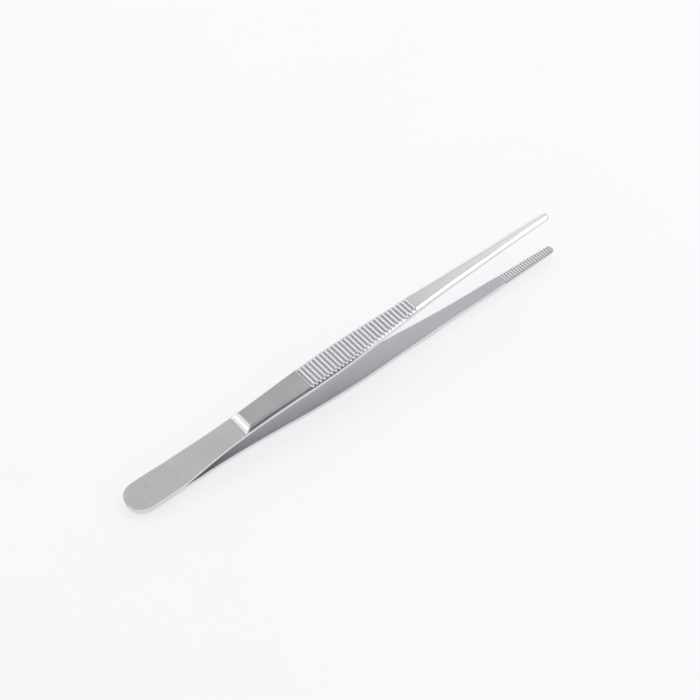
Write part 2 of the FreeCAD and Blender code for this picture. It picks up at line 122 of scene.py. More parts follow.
def soft_max(first: float, second: float, softness: float) -> float:
    """Larger of two numbers, with the change from one to the other rounded.

    Args:
        first: One number.
        second: The other number.
        softness: How far apart the two are where the rounding begins.

    Returns:
        The larger number, and up to a quarter of the softness more where the two are alike.
    """
    near = max(softness - abs(first - second), 0.0) / softness
    return max(first, second) + near * near * softness / 4


@dataclass(frozen=True)
class Track:
    """A size that changes evenly between stations along an arm, in millimetres."""

    points: tuple[tuple[float, float], ...]

    def at(self, x: float) -> float:
        """Find the size at a station.

        Args:
            x: Station along the arm.

        Returns:
            The size, held level beyond both ends.
        """
        if x <= self.points[0][0]:
            return self.points[0][1]
        for (x0, v0), (x1, v1) in zip(self.points, self.points[1:]):
            if x <= x1:
                return v0 + (v1 - v0) * (x - x0) / (x1 - x0)
        return self.points[-1][1]


@dataclass(frozen=True)
class ArcChain:
    """A line of tangent arcs and straights, known by its slopes at its stations."""

    stations: tuple[float, ...]
    slopes: tuple[float, ...]
    start: float = 0.0

    def _locate(self, x: float) -> tuple[int, float]:
        """Find the stretch that a station is on."""
        i = min(max(bisect.bisect_right(self.stations, x) - 1, 0), len(self.stations) - 2)
        return i, (x - self.stations[i]) / (self.stations[i + 1] - self.stations[i])

    def slope(self, x: float) -> float:
        """Find the slope at a station. On an arc its sine changes evenly.

        Args:
            x: Station along the line.

        Returns:
            Slope in radians.
        """
        i, share = self._locate(x)
        low, high = math.sin(self.slopes[i]), math.sin(self.slopes[i + 1])
        return math.asin(low + (high - low) * share)

    def height(self, x: float) -> float:
        """Find the height at a station. An arc rises by its run times the tangent of its mean slope.

        Args:
            x: Station along the line.

        Returns:
            Height in millimetres.
        """
        total = self.start
        for i in range(len(self.stations) - 1):
            last = i == len(self.stations) - 2
            if x <= self.stations[i + 1] or last:
                run = x - self.stations[i]
                return total + run * math.tan((self.slopes[i] + self.slope(x)) / 2)
            run = self.stations[i + 1] - self.stations[i]
            total += run * math.tan((self.slopes[i] + self.slopes[i + 1]) / 2)
        return total


class Spacing(Enum):
    """How the rings of a span stand along it."""

    EVEN = "even"
    CLOSE_AT_START = "close at start"
    CLOSE_AT_END = "close at end"

    def share(self, step_share: float) -> float:
        """Find where a ring stands.

        Args:
            step_share: Share of the span's steps that lie before the ring.

        Returns:
            Share of the span's length that lies before the ring.
        """
        if self is Spacing.CLOSE_AT_START:
            return 1 - math.cos(step_share * math.pi / 2)
        if self is Spacing.CLOSE_AT_END:
            return math.sin(step_share * math.pi / 2)
        return step_share


@dataclass(frozen=True)
class Span:
    """A stretch of an arm that is drawn out in one go and then ringed."""

    start: float
    end: float
    steps: int
    spacing: Spacing = Spacing.EVEN


# The form of one arm


@dataclass(frozen=True)
class Rings:
    """Number of steps in each stretch of an arm."""

    tail_end: int = 16
    tail: int = 6
    rear: int = 20
    ramp: int = 32
    handle: int = 16
    lead: int = 2
    rib: int = 12
    shank: int = 28
    tooth: int = 8
    tip_end: int = 10


@dataclass(frozen=True)
class ArmShape:
    """Sizes of one arm in millimetres and degrees, with X from the tail end to the tip."""

    length: float = 200.0
    weld_length: float = 20.0
    bend_radius: float = 25.0
    splay_deg: float = 5.9
    grip_deg: float = 2.75
    jaw_deg: float = 0.7
    grip_start: float = 81.0
    jaw_length: float = 26.0
    tail_thickness: float = 1.2
    handle_thickness: float = 2.5
    jaw_thickness: float = 2.05
    shoulder_at: float = 50.9
    shoulder_radius: float = 3.4
    brow_radius: float = 3.8
    ramp_before: float = 1.5
    ramp_beyond: float = 5.5
    grinding_softness: float = 0.06
    tail_half: tuple[float, float] = (10.0, 7.547)
    waist_half: tuple[float, float] = (52.0, 5.65)
    handle_half: tuple[float, float] = (93.0, 6.45)
    side_start: float = 109.5
    side_end: float = 138.6
    neck_half: tuple[float, float] = (155.0, 3.2)
    tip_half: float = 1.95
    tail_corner: float = 6.8
    tip_corner: float = 1.5
    ribs: int = 28
    rib_pitch: float = 1.78
    rib_crest: float = 0.5
    rib_depth: float = 0.65
    rib_margin: float = 0.9
    rib_softness: float = 0.15
    rib_lead: float = 0.3
    teeth: int = 21
    tooth_pitch: float = 1.15
    tooth_crest: float = 0.2
    tooth_depth: float = 0.32
    tooth_margin: float = 0.6
    tooth_softness: float = 0.05
    tip_dip: float = 0.3
    tip_dip_length: float = 14.0
    edge_round: Track = Track(((170, 0.08), (177, 0.3), (200, 0.3)))
    groove_root: float = 0.06
    bevel_width: Track = Track((
        (50, 1.15), (60, 1.1), (129, 1.1), (137, 0.88), (155, 0.98), (176, 1.25), (200, 1.25),
    ))
    bevel_height: Track = Track((
        (45, 0.8), (50, 1.25), (54, 1.4), (62, 1.35), (76, 1.2), (84, 1.3), (128, 1.3), (135, 0.62),
        (160, 0.56), (174, 0.42), (200, 0.4),
    ))
    bevel_softness: Track = Track((
        (54, 0.45), (62, 0.35), (76, 0.18), (128, 0.15), (137, 0.24), (155, 0.34), (200, 0.38),
    ))
    crown: Track = Track(((137, 0.0), (170, 0.12), (180, 0.25), (200, 0.28)))
    rings: Rings = Rings()

    @property
    def rib_run(self) -> float:
        """Length of the straight handle, which holds the ribs."""
        return (self.ribs + 1) * self.rib_pitch + 2 * self.rib_margin

    @property
    def grip_end(self) -> float:
        """Station where the straight handle ends."""
        return self.grip_start + self.rib_run * math.cos(math.radians(self.grip_deg))

    @property
    def jaw_start(self) -> float:
        """Station where the straight jaw begins."""
        return self.length - self.jaw_length * math.cos(math.radians(self.jaw_deg))

    def inner_line(self) -> ArcChain:
        """Draw the inner face from the side: flat, bend, bowed rear, straight handle, shank and jaw.

        Returns:
            The line, with its height above the weld plane.
        """
        splay, grip, jaw = (math.radians(a) for a in (self.splay_deg, self.grip_deg, self.jaw_deg))
        bend_end = self.weld_length + self.bend_radius * math.sin(splay)
        stations = (
            0, self.weld_length, bend_end, self.grip_start, self.grip_end, self.jaw_start, self.length,
        )
        return ArcChain(stations, (0, 0, splay, grip, grip, jaw, jaw))

    def side_line(self) -> ArcChain:
        """Draw a long side from above: swelling tail, waist, handle, straight side, neck and tip.

        Returns:
            The line, with its distance from the middle of the arm.
        """
        tail_x, tail_y = self.tail_half
        waist_x, waist_y = self.waist_half
        handle_x, handle_y = self.handle_half
        neck_x, neck_y = self.neck_half
        tail_run, tail_drop = waist_x - tail_x, tail_y - waist_y
        waist_run, waist_rise = handle_x - waist_x, handle_y - waist_y
        tail_radius = (tail_run ** 2 + tail_drop ** 2) / (4 * tail_drop)
        waist_radius = (waist_run ** 2 + waist_rise ** 2) / (4 * waist_rise)
        tail_turn = math.asin(tail_run / (2 * tail_radius))
        waist_turn = math.asin(waist_run / (2 * waist_radius))
        start_turn = math.asin(tail_x / tail_radius)
        tip_slope = math.atan2(neck_y - self.tip_half, self.length - neck_x)
        hollow_run = neck_x - self.side_end
        mean_run = (self.side_start - handle_x + hollow_run) / 2 + self.side_end - self.side_start
        side_slope = (handle_y - neck_y - hollow_run * tip_slope / 2) / mean_run
        stations = (
            0, tail_x, (tail_x + waist_x) / 2, waist_x, (waist_x + handle_x) / 2, handle_x,
            self.side_start, self.side_end, neck_x, self.length,
        )
        slopes = (
            start_turn, 0, -tail_turn, 0, waist_turn, 0, -side_slope, -side_slope, -tip_slope, -tip_slope,
        )
        return ArcChain(stations, slopes, tail_y - tail_x * math.tan(start_turn / 2))

    def spans(self, tooth_shift: float) -> list[Span]:
        """Stretches that the arm is drawn out in, from tail to tip.

        Args:
            tooth_shift: How far the teeth stand back from the tip, as a share of a pitch.

        Returns:
            The spans in order, each starting where the one before it ends.
        """
        level = math.cos(math.radians(self.grip_deg))
        jaw_level = math.cos(math.radians(self.jaw_deg))
        ribs_start = self.grip_start + self.rib_margin * level
        rib = self.rib_pitch * level
        ribs_end = ribs_start + (self.ribs + 1) * rib
        tooth = self.tooth_pitch * jaw_level
        teeth_end = self.length - (self.tooth_margin + tooth_shift * self.tooth_pitch) * jaw_level
        teeth_start = teeth_end - self.teeth * tooth
        foot, top = self.shoulder_at - self.ramp_before, self.shoulder_at + self.ramp_beyond
        rib_starts = [ribs_start + i * rib for i in range(self.ribs + 2)]
        tooth_starts = [teeth_start + i * tooth for i in range(self.teeth + 1)]
        lead, rings = self.rib_lead, self.rings
        return [
            Span(0, self.tail_corner, rings.tail_end, Spacing.CLOSE_AT_START),
            Span(self.tail_corner, self.weld_length, rings.tail),
            Span(self.weld_length, foot, rings.rear),
            Span(foot, top, rings.ramp),
            Span(top, ribs_start - lead, rings.handle),
            Span(ribs_start - lead, ribs_start, rings.lead),
            *(Span(start, end, rings.rib) for start, end in zip(rib_starts, rib_starts[1:])),
            Span(ribs_end, ribs_end + lead, rings.lead),
            Span(ribs_end + lead, teeth_start, rings.shank),
            *(Span(start, end, rings.tooth) for start, end in zip(tooth_starts, tooth_starts[1:])),
            Span(teeth_end, self.length, rings.tip_end, Spacing.CLOSE_AT_END),
        ]


class Region(Enum):
    """Part of an arm's cross-section, named for how it was finished and, in the grooves, for the painted
    shade that it carries.
    """

    FACE = 0
    BEVEL = 1
    CUT = 2
    TAIL = 3
    INNER = 4


@dataclass
class Section:
    """Cross-section of an arm at one ring, with heights measured from the inner face."""

    shape: ArmShape
    inner: ArcChain
    side: ArcChain
    tooth_shift: float

    # where the points of the outer side, the bevel, the edge's round, the wall and the inner side stand
    bevel_offsets: tuple[float, ...] = (-0.35, -0.14, 0.0, 0.14)
    round_angles_deg: tuple[float, ...] = (0, 30, 60, 90)
    top_shares: tuple[float, ...] = (0.0, 0.25, 0.5, 0.75)
    bevel_shares: tuple[float, ...] = (0.4, 0.7)
    wall_shares: tuple[float, ...] = (0.33, 0.67)
    inner_shares: tuple[float, ...] = (0.66, 0.33, 0.0)
    # half width in millimetres below which the bevel's points move together
    narrow: float = 1.9

    # where the ground finish of the tail ends, and how deep in the grooves their darker grey begins, which is
    # painted shade, with a real rougher cut on the teeth
    ground_past_shoulder: float = 0.5
    rib_shade_depth: float = 0.3
    tooth_shade_share: float = 0.4

    def __post_init__(self) -> None:
        """Find where the corner circles of the tail and of the tip stand."""
        self.tail_centre = self._corner_centre(self.shape.tail_corner, 0.0, 1)
        self.tip_centre = self._corner_centre(self.shape.tip_corner, self.shape.length, -1)

    def _corner_centre(self, radius: float, end: float, forwards: int) -> tuple[float, float]:
        """Find where a corner circle stands and where it meets the side.

        Args:
            radius: Radius of the corner.
            end: Station of the end face that the corner touches.
            forwards: 1 where the arm lies beyond the end face, -1 where it lies before it.

        Returns:
            Height of the centre, and the station of the touching point.
        """
        station, centre = end + forwards * radius, 0.0
        for _ in range(CORNER_TRIES):
            slope = self.side.slope(station)
            station = end + forwards * radius - radius * math.sin(slope)
            centre = self.side.height(station) - radius * math.cos(slope)
        return centre, station

    def half_width(self, x: float) -> float:
        """Find half of the arm's width, rounded corners included.

        Args:
            x: Station along the arm.

        Returns:
            Half of the width in millimetres.
        """
        radius, (centre, meets) = self.shape.tail_corner, self.tail_centre
        if x < meets:
            return centre + math.sqrt(max(radius ** 2 - (radius - x) ** 2, 0.0))
        radius, (centre, meets) = self.shape.tip_corner, self.tip_centre
        if x > meets:
            left = self.shape.length - x
            return centre + math.sqrt(max(radius ** 2 - (radius - left) ** 2, 0.0))
        return self.side.height(x)

    def edge_drop(self, x: float, y: float) -> float:
        """Find the height that the small round along every edge takes off at a point.

        Args:
            x: Station along the arm.
            y: Distance from the middle of the arm.

        Returns:
            Height in millimetres, zero away from the edges.
        """
        inside = self.half_width(x) - y
        for radius, (centre, _), run in (
            (self.shape.tail_corner, self.tail_centre, x),
            (self.shape.tip_corner, self.tip_centre, self.shape.length - x),
        ):
            inside = min(inside, run)
            if run < radius and y > centre:
                inside = min(inside, radius - math.hypot(radius - run, y - centre))
        size = self.shape.edge_round.at(x)
        depth = max(size - max(inside, 0.0), 0.0)
        return size - math.sqrt(size ** 2 - depth ** 2)

    def thickness(self, x: float) -> float:
        """Find the thickness before the tail is ground. It thins along the flat-topped shank.

        Args:
            x: Station along the arm.

        Returns:
            Thickness in millimetres.
        """
        shape = self.shape
        start = shape.grip_end - shape.rib_margin
        if x <= start:
            return shape.handle_thickness
        share = min((x - start) / (shape.jaw_start - start), 1.0)
        even = shape.handle_thickness + (shape.jaw_thickness - shape.handle_thickness) * share
        low, high = self.inner.height(start), self.inner.height(shape.jaw_start)
        bow = self.inner.height(x) - (low + (high - low) * share) if share < 1 else 0.0
        dipped = max(1 - (shape.length - x) / shape.tip_dip_length, 0.0)
        dip = dipped ** 2 * shape.tip_dip
        return even - bow - dip

    def grinding(self, x: float) -> float:
        """Find the depth ground off the tail, up the hollow of the shoulder and over its brow.

        Args:
            x: Station along the arm.

        Returns:
            Depth in millimetres, below zero beyond the brow.
        """
        shape = self.shape
        full = shape.handle_thickness - shape.tail_thickness
        hollow, brow = shape.shoulder_radius, shape.brow_radius
        steepest = math.sin(math.acos(1 - full / (hollow + brow)))
        beyond = x - shape.tail_thickness * math.sin(self.inner.slope(x)) - shape.shoulder_at
        left = (hollow + brow) * steepest - beyond
        if beyond <= 0:
            return full
        if beyond < hollow * steepest:
            return full - hollow + math.sqrt(hollow ** 2 - beyond ** 2)
        return brow - math.sqrt(brow ** 2 - left ** 2) if left > 0 else left

    def _groove(self, away: float, half: float, depth: float) -> float:
        """Depth of a V groove with a rounded root, at a distance from its middle."""
        root = self.shape.groove_root
        return depth * (1 - (math.hypot(away, root) - root) / half)

    def rib_groove(self, x: float) -> float:
        """Find the depth of the grooves between the ribs.

        Args:
            x: Station along the arm.

        Returns:
            Depth in millimetres, below zero where there is no groove.
        """
        shape = self.shape
        along = (x - shape.grip_start) / math.cos(math.radians(shape.grip_deg)) - shape.rib_margin
        if not 0 < along < (shape.ribs + 1) * shape.rib_pitch:
            return -shape.rib_depth
        away = along % shape.rib_pitch - shape.rib_pitch / 2
        return self._groove(away, (shape.rib_pitch - shape.rib_crest) / 2, shape.rib_depth)

    def tooth_groove(self, x: float) -> float:
        """Find the depth of the grooves between the teeth.

        Args:
            x: Station along the arm.

        Returns:
            Depth in millimetres, below zero where there is no groove.
        """
        shape = self.shape
        back = (shape.length - x) / math.cos(math.radians(shape.jaw_deg))
        along = back - shape.tooth_margin - self.tooth_shift * shape.tooth_pitch
        if not 0 < along < shape.teeth * shape.tooth_pitch:
            return -shape.tooth_depth
        away = along % shape.tooth_pitch - shape.tooth_pitch / 2
        return self._groove(away, (shape.tooth_pitch - shape.tooth_crest) / 2, shape.tooth_depth)

    def top(self, x: float, y: float) -> float:
        """Find the height of the outer side, after bevel, grinding, ribs, crown and edge round.

        Args:
            x: Station along the arm.
            y: Distance from the middle of the arm.

        Returns:
            Height above the inner face in millimetres.
        """
        shape = self.shape
        width, height = shape.bevel_width.at(x), shape.bevel_height.at(x)
        side = self.side.height(x)
        bevel = (y - side + width) / width * height
        drop = soft_max(0.0, bevel, shape.bevel_softness.at(x))
        drop = soft_max(drop, self.grinding(x), shape.grinding_softness)
        drop = soft_max(drop, self.rib_groove(x), shape.rib_softness)
        crown = shape.crown.at(x) * (y / side) ** 2
        return self.thickness(x) - drop - crown - self.edge_drop(x, y)

    def bottom(self, x: float, y: float) -> float:
        """Height of the inner side at a point, after the teeth and the edge round."""
        return soft_max(0.0, self.tooth_groove(x), self.shape.tooth_softness) + self.edge_drop(x, y)

    def half_points(self, x: float) -> list[tuple[float, float]]:
        """List the points of half a section, from the middle of the outer side to that of the inner one.

        Args:
            x: Station along the arm.

        Returns:
            Pairs of distance from the middle and height above the inner face.
        """
        side = self.half_width(x)
        squeeze = min(1.0, side / self.narrow)
        bevel_line = side - self.shape.bevel_width.at(x) * squeeze
        offsets = [bevel_line + offset * squeeze for offset in self.bevel_offsets]
        size = self.shape.edge_round.at(x)
        rounds = [side - size * (1 - math.sin(math.radians(a))) for a in self.round_angles_deg]
        shares = [offsets[-1] + (rounds[0] - offsets[-1]) * share for share in self.bevel_shares]
        outer = [offsets[0] * share for share in self.top_shares] + offsets + shares + rounds
        inner = list(reversed(rounds)) + [rounds[0] * share for share in self.inner_shares]
        upper = [(y, self.top(x, y)) for y in outer]
        lower = [(y, self.bottom(x, y)) for y in inner]
        high, low = upper[-1][1], lower[0][1]
        wall = [(side, high + (low - high) * share) for share in self.wall_shares]
        return upper + wall + lower

    def half_count(self) -> int:
        """Number of steps from the middle of the outer side to the middle of the inner one."""
        return len(self.half_points(self.shape.weld_length)) - 1

    def region(self, x: float, step: int) -> Region:
        """Choose the finish of the face that follows a point of the half section.

        Args:
            x: Station at the middle of the face.
            step: Number of the face, counted from the middle of the outer side.

        Returns:
            The region that the face belongs to.
        """
        ground = x < self.shape.shoulder_at + self.ground_past_shoulder
        bevel_first = len(self.top_shares) + self.bevel_offsets.index(0.0)
        rounds_first = len(self.top_shares) + len(self.bevel_offsets) + len(self.bevel_shares)
        # the round of the inner edge belongs to the wall, up to its last face
        wall_last = rounds_first + 2 * len(self.round_angles_deg) + len(self.wall_shares) - 2
        if step < (rounds_first if ground else bevel_first):
            if ground:
                return Region.TAIL
            # painted shade: deep in the rib grooves the darker inner grey stands in for shade
            return Region.INNER if self.rib_groove(x) > self.rib_shade_depth else Region.FACE
        if step < wall_last:
            return Region.BEVEL
        # painted shade and painted highlight on the teeth: the deep part of each groove takes the darker
        # groove grey, the crests the lighter outer grey
        groove, depth = self.tooth_groove(x), self.shape.tooth_depth
        if groove > depth * self.tooth_shade_share:
            return Region.CUT
        return Region.FACE if groove > -depth else Region.INNER


# Finishes


@dataclass(frozen=True)
class SatinSteel:
    """Martensitic stainless steel, brushed across the blade with a fine belt.

    It gives a soft grey sheen with faint streaks that run across the arm.
    """

    name: str = "satin_brushed_stainless_steel"
    dark: str = "#CBCACA"
    light: str = "#D5D4D4"
    streak_mm: float = 0.35
    streak_length_mm: float = 9.0
    streak_detail: float = 3.0
    streak_roughness: float = 0.6
    cloud_mm: float = 14.0
    cloud_detail: float = 2.0
    cloud_share: float = 0.35
    spread: tuple[float, float] = (0.3, 0.7)
    roughness: tuple[float, float] = (0.2, 0.28)
    bump_mm: float = 0.002
    bump_strength: float = 0.5

    def _pattern(self, tree: bpy.types.NodeTree) -> tuple[bpy.types.NodeSocket, bpy.types.NodeSocket]:
        """Add the streaks of the grinding belt and the broad clouds that vary them.

        Args:
            tree: Node tree of the material.

        Returns:
            Output of the streaks alone, and output of both, spread from zero to one.
        """
        place = add_node(tree, "ShaderNodeTexCoord", {}, {})
        across, along = 1 / (self.streak_length_mm * MM), 1 / (self.streak_mm * MM)
        stretch = add_node(
            tree, "ShaderNodeMapping", {"Scale": (along, across, along)},
            {"Vector": place.outputs["Object"]},
        )
        streaks = add_node(
            tree, "ShaderNodeTexNoise",
            {"Scale": 1.0, "Detail": self.streak_detail, "Roughness": self.streak_roughness},
            {"Vector": stretch.outputs["Vector"]},
        )
        clouds = add_node(
            tree, "ShaderNodeTexNoise", {"Scale": 1 / (self.cloud_mm * MM), "Detail": self.cloud_detail},
            {"Vector": place.outputs["Object"]},
        )
        both = add_node(
            tree, "ShaderNodeMix", {"data_type": "FLOAT", "Factor": self.cloud_share},
            {"A": streaks.outputs["Fac"], "B": clouds.outputs["Fac"]},
        )
        spread = add_node(
            tree, "ShaderNodeMapRange", {"From Min": self.spread[0], "From Max": self.spread[1]},
            {"Value": both.outputs["Result"]},
        )
        return streaks.outputs["Fac"], spread.outputs["Result"]

    def make(self) -> bpy.types.Material:
        """Build the material.

        Returns:
            The new material, with its pattern in real millimetres.
        """
        material, tree = new_material(self.name)
        streaks, pattern = self._pattern(tree)
        colour = add_node(tree, "ShaderNodeValToRGB", {}, {"Fac": pattern})
        colour.color_ramp.elements[0].color = linear(self.dark)
        colour.color_ramp.elements[1].color = linear(self.light)
        rough = add_node(
            tree, "ShaderNodeMapRange", {"To Min": self.roughness[0], "To Max": self.roughness[1]},
            {"Value": pattern},
        )
        bump = add_node(
            tree, "ShaderNodeBump", {"Strength": self.bump_strength, "Distance": self.bump_mm * MM},
            {"Height": streaks},
        )
        shader = add_node(
            tree, "ShaderNodeBsdfPrincipled", {"Metallic": 1.0},
            {
                "Base Color": colour.outputs["Color"],
                "Roughness": rough.outputs["Result"],
                "Normal": bump.outputs["Normal"],
            },
        )
        add_node(tree, "ShaderNodeOutputMaterial", {}, {"Surface": shader.outputs["BSDF"]})
        return material


@dataclass(frozen=True)
class GroundTail(SatinSteel):
    """The same steel where a coarse wheel ground the tail flat, working across the arm.

    It gives a paler and more open sheen than the handle, with the streaks easier to see.
    """

    name: str = "cross_ground_stainless_steel"
    dark: str = "#CACAC9"
    light: str = "#D9D9D8"
    streak_mm: float = 0.4
    streak_length_mm: float = 5.0
    roughness: tuple[float, float] = (0.38, 0.46)
    bump_mm: float = 0.009


@dataclass(frozen=True)
class BlastedInsideAndRibShade(SatinSteel):
    """The same steel on the inner faces, blasted with fine beads and left matt, and laid deep in the grooves
    between the ribs.

    It gives a flatter and darker grey than the outside; between the ribs that darker grey is painted shade.
    """

    name: str = "bead_blasted_steel_and_painted_rib_shade"
    # real tone on the inner faces; deep in the rib grooves the same darker grey is painted shade
    dark: str = "#BFBFC3"
    light: str = "#CCCCD1"
    streak_length_mm: float = 0.5
    roughness: tuple[float, float] = (0.48, 0.56)


@dataclass(frozen=True)
class PolishedEdgeAndSheen(SatinSteel):
    """The same steel on its bevels and walls, ground along the arm and then buffed.

    Its low roughness gives a clearer sheen, so the long edges turn white or dark with what they face, and its
    lighter grey is painted sheen that makes them brighter still.
    """

    name: str = "buffed_steel_edge_and_painted_sheen"
    # painted sheen: a lighter grey than the faces, so the bevels and walls look brighter
    dark: str = "#DADADB"
    light: str = "#E4E4E5"
    roughness: tuple[float, float] = (0.14, 0.2)
    bump_mm: float = 0.003


@dataclass(frozen=True)
class MilledGrooveAndShade(SatinSteel):
    """The same steel where a cutter left the grooves between the teeth.

    It gives a slightly rougher grey between bright crests, and its darker grey is painted shade down in the
    grooves.
    """

    name: str = "milled_groove_and_painted_shade"
    # painted shade: a darker grey than the crests, for the deep part of the grooves
    dark: str = "#A3A4A5"
    light: str = "#B6B7B8"
    streak_mm: float = 0.2
    roughness: tuple[float, float] = (0.32, 0.42)


@dataclass(frozen=True)
class TableTop:
    """An opal acrylic sheet that glows a little with no lamp behind it.

    The glow is painted light: it gives a pale even ground and keeps the shadows on it faint.
    """

    name: str = "acrylic_sheet_with_painted_glow"
    tone: str = "#A6A6A8"
    mottle: str = "#A3A3A5"
    mottle_mm: float = 60.0
    mottle_detail: float = 2.0
    roughness: float = 0.6
    specular_level: float = 0.2
    glow_tone: str = "#FFFFFF"
    # painted light: how strongly the table glows with no lamp behind it
    painted_glow: float = 0.625

    def make(self) -> bpy.types.Material:
        """Build the material.

        Returns:
            The new material.
        """
        material, tree = new_material(self.name)
        place = add_node(tree, "ShaderNodeTexCoord", {}, {})
        mottle = add_node(
            tree, "ShaderNodeTexNoise", {"Scale": 1 / (self.mottle_mm * MM), "Detail": self.mottle_detail},
            {"Vector": place.outputs["Object"]},
        )
        colour = add_node(tree, "ShaderNodeValToRGB", {}, {"Fac": mottle.outputs["Fac"]})
        colour.color_ramp.elements[0].color = linear(self.mottle)
        colour.color_ramp.elements[1].color = linear(self.tone)
        # painted light: the table's own glow lifts the ground and lightens the shadows on it
        shader = add_node(
            tree, "ShaderNodeBsdfPrincipled",
            {
                "Roughness": self.roughness,
                "Specular IOR Level": self.specular_level,
                "Emission Color": linear(self.glow_tone),
                "Emission Strength": self.painted_glow,
            },
            {"Base Color": colour.outputs["Color"]},
        )
        add_node(tree, "ShaderNodeOutputMaterial", {}, {"Surface": shader.outputs["BSDF"]})
        return material


@dataclass(frozen=True)
class GreyPaint:
    """Matt grey paint on a board.

    It gives the steel something dark to mirror, and has no gloss of its own.
    """

    tone: str
    name: str = "grey_board"

    def make(self) -> bpy.types.Material:
        """Build the material.

        Returns:
            The new material.
        """
        material, tree = new_material(self.name)
        shader = add_node(tree, "ShaderNodeBsdfDiffuse", {"Color": linear(self.tone)}, {})
        add_node(tree, "ShaderNodeOutputMaterial", {}, {"Surface": shader.outputs["BSDF"]})
        return material


# The arms


@dataclass
class Arm:
    """One blade of the forceps, drawn out of a round bar and pressed to its form."""

    name: str
    node: str
    turned_over: bool
    tooth_shift: float
    placement: Matrix
    shape: ArmShape = field(default_factory=ArmShape)
    smooth_angle_deg: float = 48.0

    def build(self, finishes: dict[Region, bpy.types.Material]) -> bpy.types.Object:
        """Make the arm, dress it, and let it stand for its CAD node.

        Args:
            finishes: Material of each region of the arm.

        Returns:
            The finished piece.
        """
        section = Section(self.shape, self.shape.inner_line(), self.shape.side_line(), self.tooth_shift)
        arm = self._draw_bar(section)
        places = self._press(arm, section)
        self._dress(arm, section, places, finishes)
        bpy.ops.object.shade_smooth_by_angle(angle=math.radians(self.smooth_angle_deg))
        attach(arm, "root")
        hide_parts(self.node)
        return arm

    def _draw_bar(self, section: Section) -> bpy.types.Object:
        """Add a round bar, draw it out span by span, and ring each span.

        Args:
            section: Cross-section that says how many sides the bar has.

        Returns:
            The bar, with X along it.
        """
        spans = self.shape.spans(self.tooth_shift)
        first = spans[0].end - spans[0].start
        bpy.ops.object.select_all(action="DESELECT")
        bpy.ops.mesh.primitive_cylinder_add(
            vertices=2 * section.half_count(),
            radius=self.shape.tip_half * MM,
            depth=first * MM,
            location=(first / 2 * MM, 0, 0),
            rotation=(0, math.pi / 2, 0),
        )
        bar = bpy.context.object
        bar.name = bar.data.name = self.name
        bpy.ops.object.transform_apply(location=True, rotation=True, scale=True)
        bpy.ops.object.mode_set(mode="EDIT")
        bpy.ops.mesh.select_mode(type="FACE")
        bpy.ops.mesh.select_all(action="DESELECT")
        mesh = bmesh.from_edit_mesh(bar.data)
        front = max(mesh.faces, key=lambda face: face.calc_center_median().x)
        front.select_set(True)
        bmesh.update_edit_mesh(bar.data)
        for span in spans[1:]:
            run = (span.end - span.start) * MM
            bpy.ops.mesh.extrude_region_move(TRANSFORM_OT_translate={"value": (run, 0, 0)})
        starts = [span.start * MM for span in spans]
        bpy.ops.mesh.select_mode(type="EDGE")
        for steps in sorted({span.steps for span in spans}):
            bpy.ops.mesh.select_all(action="DESELECT")
            mesh = bmesh.from_edit_mesh(bar.data)
            for edge in mesh.edges:
                low, high = sorted(vertex.co.x for vertex in edge.verts)
                span = spans[bisect.bisect_right(starts, (low + high) / 2) - 1]
                whole = high - low > WHOLE_EDGE_SHARE * (span.end - span.start) * MM
                edge.select_set(whole and span.steps == steps)
            bmesh.update_edit_mesh(bar.data)
            bpy.ops.mesh.subdivide(number_cuts=steps - 1)
        bpy.ops.object.mode_set(mode="OBJECT")
        return bar

    def _press(self, bar: bpy.types.Object, section: Section) -> list[tuple[float, int]]:
        """Press the ringed bar to the arm's form, and set it in place.

        Args:
            bar: The bar that _draw_bar made.
            section: Cross-section at any station.

        Returns:
            Station and side number of every vertex, in the order of the mesh.
        """
        even, pressed = [0.0], [0.0]
        for span in self.shape.spans(self.tooth_shift):
            run = span.end - span.start
            even += [span.start + run * i / span.steps for i in range(1, span.steps + 1)]
            pressed += [
                span.start + run * span.spacing.share(i / span.steps) for i in range(1, span.steps + 1)
            ]
        half = section.half_count()
        rings = [section.half_points(x) for x in pressed]
        over = Matrix.Rotation(math.pi, 4, "X") if self.turned_over else Matrix.Identity(4)
        move = self.placement @ over
        places = []
        for vertex in bar.data.vertices:
            x = vertex.co.x / MM
            ring = bisect.bisect_left(even, x - RING_TOLERANCE_MM)
            if ring + 1 < len(even) and even[ring + 1] - x < x - even[ring]:
                ring += 1
            turn = math.atan2(vertex.co.y, vertex.co.z) % (2 * math.pi)
            side = round(turn / math.pi * half) % (2 * half)
            station = pressed[ring]
            y, height = rings[ring][min(side, 2 * half - side)]
            slope = section.inner.slope(station)
            point = Vector((
                station - height * math.sin(slope),
                y if side <= half else -y,
                section.inner.height(station) + height * math.cos(slope),
            ))
            vertex.co = move @ (point * MM)
            places.append((station, side))
        bar.data.update()
        return places

    def _dress(
        self,
        arm: bpy.types.Object,
        section: Section,
        places: list[tuple[float, int]],
        finishes: dict[Region, bpy.types.Material],
    ) -> None:
        """Give every face of the arm the finish of its region. The two flat ends keep the first one.

        Args:
            arm: The pressed arm.
            section: Cross-section at any station.
            places: Station and side number of every vertex.
            finishes: Material of each region of the arm.
        """
        half = section.half_count()
        for region in Region:
            arm.data.materials.append(finishes[region])
        for face in arm.data.polygons:
            if len(face.vertices) > QUAD_CORNERS:
                continue
            here = [places[i] for i in face.vertices]
            station = sum(x for x, _ in here) / len(here)
            step = min(min(side, 2 * half - side) for _, side in here)
            face.material_index = section.region(station, step).value


# The studio


@dataclass(frozen=True)
class Table:
    """The board that the forceps lie on."""

    side_m: float = 6.0
    finish: TableTop = TableTop()

    def build(self) -> bpy.types.Object:
        """Add the board, with its top at the height that the forceps lie at.

        Returns:
            The board.
        """
        bpy.ops.object.select_all(action="DESELECT")
        bpy.ops.mesh.primitive_plane_add(size=self.side_m, location=(0, 0, 0))
        board = bpy.context.object
        board.name = "table_top"
        board.data.materials.append(self.finish.make())
        return board


